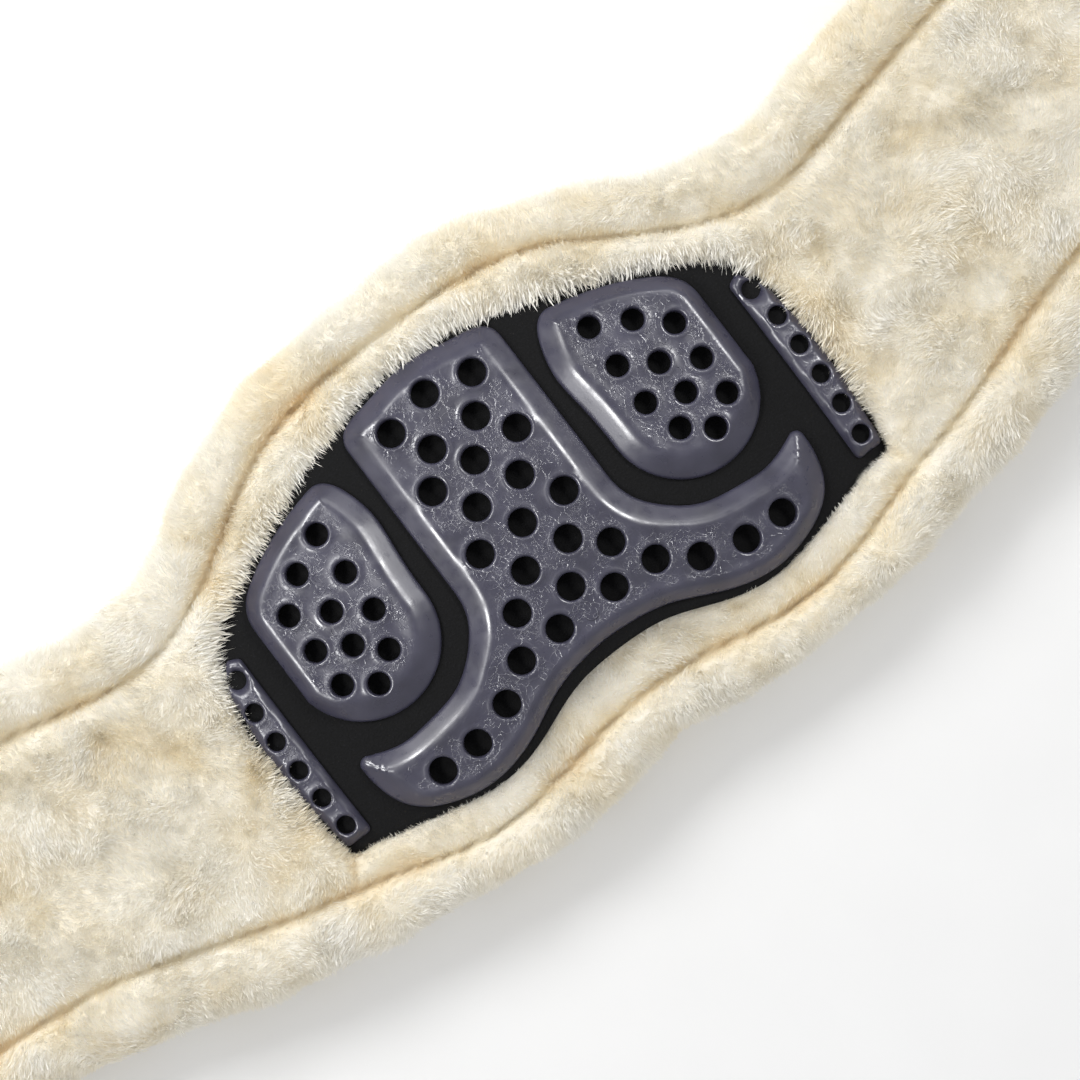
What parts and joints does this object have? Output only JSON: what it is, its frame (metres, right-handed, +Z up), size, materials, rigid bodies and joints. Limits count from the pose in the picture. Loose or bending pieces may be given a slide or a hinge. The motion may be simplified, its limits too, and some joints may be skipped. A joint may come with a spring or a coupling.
{
  "type": "saddle girth",
  "caption": "Short anatomical saddle girth with a fleece lining, edge rolls, a perforated gel sternum panel, elastic ends and roller buckles.",
  "frame": {"origin": "on the surface the girth lies on, under the middle of its length and depth", "axes": "+X along the girth to its right end, +Y to its front edge (the horse's head), +Z up to the fleece side that lies against the horse"},
  "size_m": [0.749, 0.2031, 0.0445],
  "materials": {
    "sheepskin": "dense short-cropped wool pile",
    "cover_leather": "smooth waxed grain leather",
    "strap_leather": "grain leather with burnished edges",
    "foam": "closed-cell foam",
    "webbing": "plain woven nylon webbing",
    "neoprene": "matt knitted face",
    "gel_pad": "semi-gloss moulded thermoplastic rubber",
    "elastic": "ribbed woven elastic",
    "nickel_plate": "nickel plate over steel, polished"
  },
  "bodies": {
    "girth": {"outer_cover": "cover_leather", "foam_core": "foam", "load_web_front": "webbing", "load_web_rear": "webbing", "panel_foam": "foam", "panel_carrier": "neoprene", "sternum_pad": "gel_pad", "side_pad_left": "gel_pad", "side_pad_right": "gel_pad", "end_bar_left": "gel_pad", "end_bar_right": "gel_pad", "fleece_front_roll": "sheepskin", "fleece_rear_roll": "sheepskin", "fleece_left_arm": "sheepskin", "fleece_right_arm": "sheepskin", "fleece_front_strip": "sheepskin", "fleece_rear_strip": "sheepskin", "end_facing_left": "strap_leather", "end_facing_right": "strap_leather", "d_ring_chape_centre": "strap_leather", "d_ring_chape_left": "strap_leather", "d_ring_chape_right": "strap_leather", "chape_rivets": "nickel_plate", "elastic_left_front": "elastic", "elastic_left_rear": "elastic", "elastic_right_front": "elastic", "elastic_right_rear": "elastic"},
    "d_ring_centre": {"d_ring_centre": "nickel_plate"},
    "d_ring_left": {"d_ring_left": "nickel_plate"},
    "d_ring_right": {"d_ring_right": "nickel_plate"},
    "buckle_mount_left_front": {"buckle_chape_left_front": "strap_leather"},
    "buckle_frame_left_front": {"buckle_frame_left_front": "nickel_plate"},
    "buckle_roller_left_front": {"buckle_roller_left_front": "nickel_plate"},
    "buckle_tongue_left_front": {"buckle_tongue_left_front": "nickel_plate"},
    "buckle_mount_left_rear": {"buckle_chape_left_rear": "strap_leather"},
    "buckle_frame_left_rear": {"buckle_frame_left_rear": "nickel_plate"},
    "buckle_roller_left_rear": {"buckle_roller_left_rear": "nickel_plate"},
    "buckle_tongue_left_rear": {"buckle_tongue_left_rear": "nickel_plate"},
    "buckle_mount_right_front": {"buckle_chape_right_front": "strap_leather"},
    "buckle_frame_right_front": {"buckle_frame_right_front": "nickel_plate"},
    "buckle_roller_right_front": {"buckle_roller_right_front": "nickel_plate"},
    "buckle_tongue_right_front": {"buckle_tongue_right_front": "nickel_plate"},
    "buckle_mount_right_rear": {"buckle_chape_right_rear": "strap_leather"},
    "buckle_frame_right_rear": {"buckle_frame_right_rear": "nickel_plate"},
    "buckle_roller_right_rear": {"buckle_roller_right_rear": "nickel_plate"},
    "buckle_tongue_right_rear": {"buckle_tongue_right_rear": "nickel_plate"}
  },
  "joints": [
    {"name": "d_ring_swing_centre", "type": "hinge", "parent": "girth", "child": "d_ring_centre", "pos_m": [0, 0.0495, 0.00635], "axis": [-1, 0, 0], "range_deg": [0, 150]},
    {"name": "d_ring_swing_left", "type": "hinge", "parent": "girth", "child": "d_ring_left", "pos_m": [-0.218, 0.0145, 0.00635], "axis": [-1, 0, 0], "range_deg": [0, 150]},
    {"name": "d_ring_swing_right", "type": "hinge", "parent": "girth", "child": "d_ring_right", "pos_m": [0.218, 0.0145, 0.00635], "axis": [-1, 0, 0], "range_deg": [0, 150]},
    {"name": "elastic_stretch_left_front", "type": "slide", "parent": "girth", "child": "buckle_mount_left_front", "axis": [-1, 0, 0], "range_m": [0, 0.018], "stiffness_N_per_m": 4000, "deforming": ["elastic_left_front"]},
    {"name": "buckle_swing_left_front", "type": "hinge", "parent": "buckle_mount_left_front", "child": "buckle_frame_left_front", "pos_m": [-0.34, 0.0365, 0.0087], "axis": [0, -1, 0], "range_deg": [-30, 30]},
    {"name": "tongue_swing_left_front", "type": "hinge", "parent": "buckle_frame_left_front", "child": "buckle_tongue_left_front", "pos_m": [-0.34, 0.0365, 0.0087], "axis": [0, -1, 0], "range_deg": [0, 90]},
    {"name": "roller_spin_left_front", "type": "hinge", "parent": "buckle_frame_left_front", "child": "buckle_roller_left_front", "pos_m": [-0.3705, 0.0365, 0.0087], "axis": [0, -1, 0], "continuous": true},
    {"name": "elastic_stretch_left_rear", "type": "slide", "parent": "girth", "child": "buckle_mount_left_rear", "axis": [-1, 0, 0], "range_m": [0, 0.018], "stiffness_N_per_m": 4000, "deforming": ["elastic_left_rear"]},
    {"name": "buckle_swing_left_rear", "type": "hinge", "parent": "buckle_mount_left_rear", "child": "buckle_frame_left_rear", "pos_m": [-0.34, -0.0155, 0.0087], "axis": [0, -1, 0], "range_deg": [-30, 30]},
    {"name": "tongue_swing_left_rear", "type": "hinge", "parent": "buckle_frame_left_rear", "child": "buckle_tongue_left_rear", "pos_m": [-0.34, -0.0155, 0.0087], "axis": [0, -1, 0], "range_deg": [0, 90]},
    {"name": "roller_spin_left_rear", "type": "hinge", "parent": "buckle_frame_left_rear", "child": "buckle_roller_left_rear", "pos_m": [-0.3705, -0.0155, 0.0087], "axis": [0, -1, 0], "continuous": true},
    {"name": "elastic_stretch_right_front", "type": "slide", "parent": "girth", "child": "buckle_mount_right_front", "axis": [1, 0, 0], "range_m": [0, 0.018], "stiffness_N_per_m": 4000, "deforming": ["elastic_right_front"]},
    {"name": "buckle_swing_right_front", "type": "hinge", "parent": "buckle_mount_right_front", "child": "buckle_frame_right_front", "pos_m": [0.34, 0.0365, 0.0087], "axis": [0, 1, 0], "range_deg": [-30, 30]},
    {"name": "tongue_swing_right_front", "type": "hinge", "parent": "buckle_frame_right_front", "child": "buckle_tongue_right_front", "pos_m": [0.34, 0.0365, 0.0087], "axis": [0, 1, 0], "range_deg": [0, 90]},
    {"name": "roller_spin_right_front", "type": "hinge", "parent": "buckle_frame_right_front", "child": "buckle_roller_right_front", "pos_m": [0.3705, 0.0365, 0.0087], "axis": [0, 1, 0], "continuous": true},
    {"name": "elastic_stretch_right_rear", "type": "slide", "parent": "girth", "child": "buckle_mount_right_rear", "axis": [1, 0, 0], "range_m": [0, 0.018], "stiffness_N_per_m": 4000, "deforming": ["elastic_right_rear"]},
    {"name": "buckle_swing_right_rear", "type": "hinge", "parent": "buckle_mount_right_rear", "child": "buckle_frame_right_rear", "pos_m": [0.34, -0.0155, 0.0087], "axis": [0, 1, 0], "range_deg": [-30, 30]},
    {"name": "tongue_swing_right_rear", "type": "hinge", "parent": "buckle_frame_right_rear", "child": "buckle_tongue_right_rear", "pos_m": [0.34, -0.0155, 0.0087], "axis": [0, 1, 0], "range_deg": [0, 90]},
    {"name": "roller_spin_right_rear", "type": "hinge", "parent": "buckle_frame_right_rear", "child": "buckle_roller_right_rear", "pos_m": [0.3705, -0.0155, 0.0087], "axis": [0, 1, 0], "continuous": true}
  ]
}
